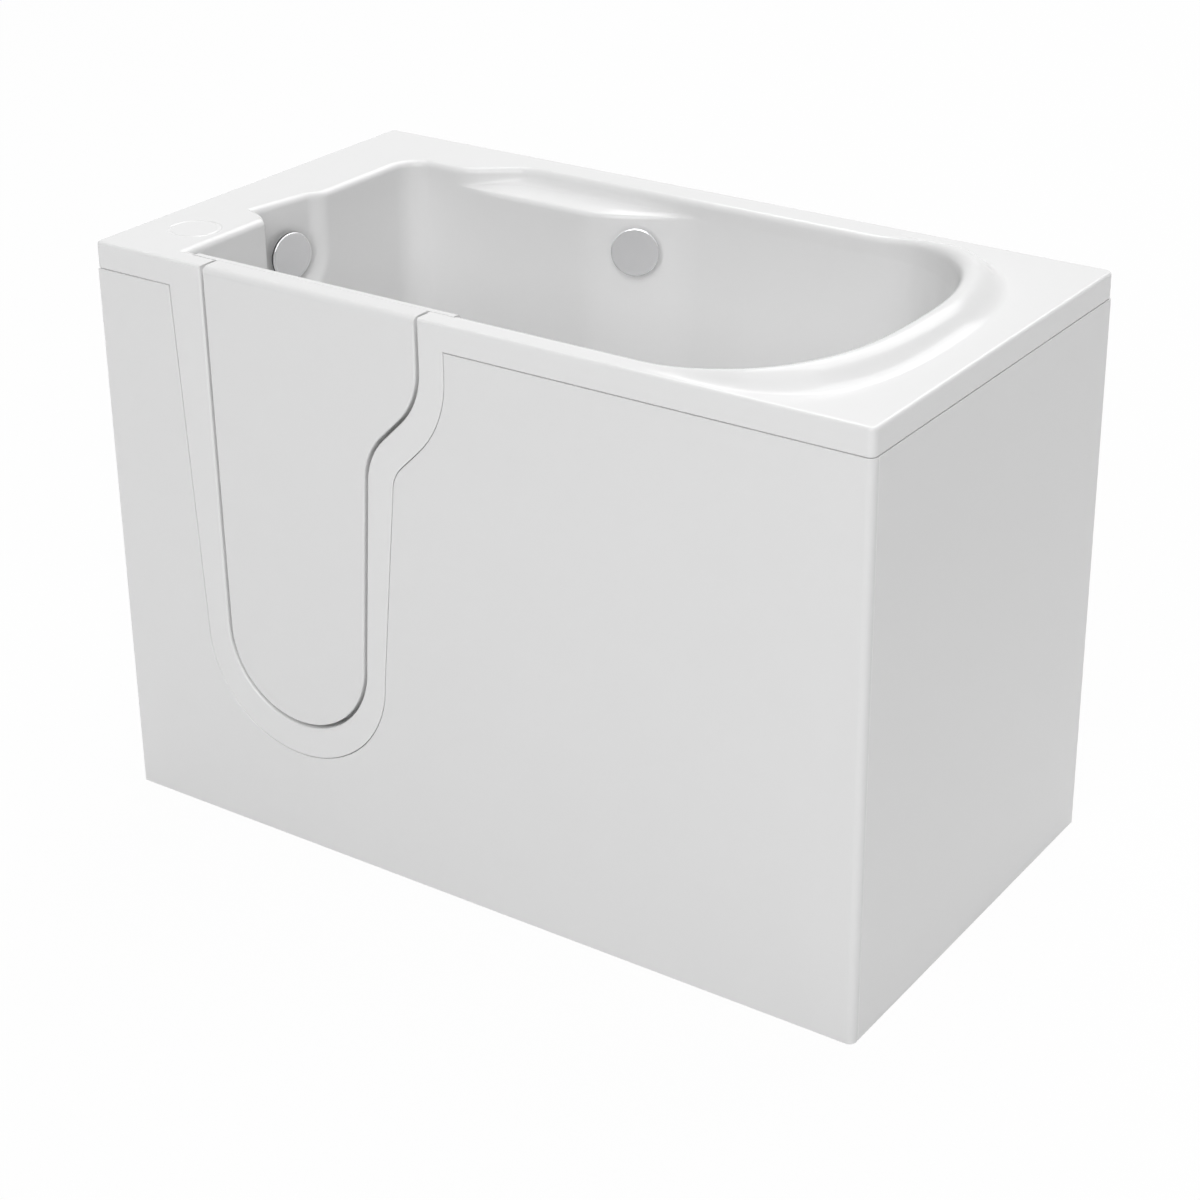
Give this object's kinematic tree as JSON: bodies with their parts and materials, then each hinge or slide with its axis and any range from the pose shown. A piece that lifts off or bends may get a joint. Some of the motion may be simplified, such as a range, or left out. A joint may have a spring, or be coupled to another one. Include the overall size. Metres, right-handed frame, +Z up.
{
  "type": "walk-in bathtub",
  "caption": "Compact rectangular walk-in bath with an inward-opening shaped door, moulded seat, armrest and headrest, two-sided panels, pop-up waste and overflow filler on a levelling frame.",
  "frame": {"origin": "centre of the footprint on the floor, under the middle of the bath's outer rectangle", "axes": "+X along the bath from the door end towards the headrest end, +Y from the door side towards the back wall, +Z up"},
  "size_m": [1.21, 0.65, 0.87],
  "materials": {
    "acrylic": "glossy white moulded acrylic",
    "door_acrylic": "glossy white moulded acrylic",
    "panel_acrylic": "smooth white satin-gloss panel",
    "rubber": "soft black rubber",
    "chrome": "polished chrome plate",
    "stainless": "brushed stainless steel",
    "galvanised": "zinc-coated steel",
    "brass": "machined brass thread",
    "board": "unfinished plywood",
    "black_plastic": "moulded black plastic",
    "white_plastic": "white waste pipe"
  },
  "bodies": {
    "tub": {"bath_shell": "acrylic", "latch_keeper": "stainless", "front_panel": "panel_acrylic", "end_panel": "panel_acrylic", "front_batten": "board", "end_batten": "board", "base_frame": "galvanised", "seat_board": "board", "base_board": "board", "waste_flange": "chrome", "waste_body": "black_plastic", "waste_trap": "black_plastic", "drain_pipe": "white_plastic", "overflow_body": "black_plastic", "overflow_plate": "chrome", "overflow_pipe": "black_plastic", "filler_cover": "chrome", "filler_hub": "chrome", "filler_body": "black_plastic", "filler_tail": "brass", "lower_hinge_wall_leaf": "stainless", "upper_hinge_wall_leaf": "stainless", "lower_hinge_pin": "chrome", "upper_hinge_pin": "chrome", "front_left_bracket": "galvanised", "front_right_bracket": "galvanised", "end_front_bracket": "galvanised", "end_back_bracket": "galvanised", "front_left_upright": "galvanised", "front_left_seat_post": "galvanised", "front_right_upright": "galvanised", "front_right_seat_post": "galvanised", "back_left_upright": "galvanised", "back_left_seat_post": "galvanised", "back_right_upright": "galvanised", "back_right_seat_post": "galvanised", "front_left_foot": "rubber", "front_left_stud": "galvanised", "front_middle_foot": "rubber", "front_middle_stud": "galvanised", "front_right_foot": "rubber", "front_right_stud": "galvanised", "back_left_foot": "rubber", "back_left_stud": "galvanised", "back_middle_foot": "rubber", "back_middle_stud": "galvanised", "back_right_foot": "rubber", "back_right_stud": "galvanised"},
    "door": {"door_outer_leaf": "door_acrylic", "door_inner_leaf": "door_acrylic", "door_seal": "rubber", "latch_rose": "chrome", "lower_hinge_door_leaf": "stainless", "upper_hinge_door_leaf": "stainless"},
    "latch": {"latch_spindle": "stainless", "latch_tongue": "stainless", "latch_lever": "chrome"},
    "knob": {"overflow_knob": "chrome"},
    "plug": {"popup_plug": "chrome"}
  },
  "joints": [
    {"name": "door_swing", "type": "hinge", "parent": "tub", "child": "door", "pos_m": [-0.458, -0.272, 0.5], "axis": [0, 0, 1], "range_deg": [0, 88]},
    {"name": "latch_turn", "type": "hinge", "parent": "door", "child": "latch", "pos_m": [-0.045, -0.267, 0.777], "axis": [0, -1, 0], "range_deg": [0, 90]},
    {"name": "knob_turn", "type": "hinge", "parent": "tub", "child": "knob", "pos_m": [-0.507, -0.047, 0.765], "axis": [0.9848, -0.1736, 0], "range_deg": [0, 90]},
    {"name": "plug_lift", "type": "slide", "parent": "tub", "child": "plug", "axis": [0, 0, 1], "range_m": [0, 0.008]}
  ],
  "couplings": [
    {"joint": "plug_lift", "follows": "knob_turn", "m_per_rad": 0.0050929}
  ]
}
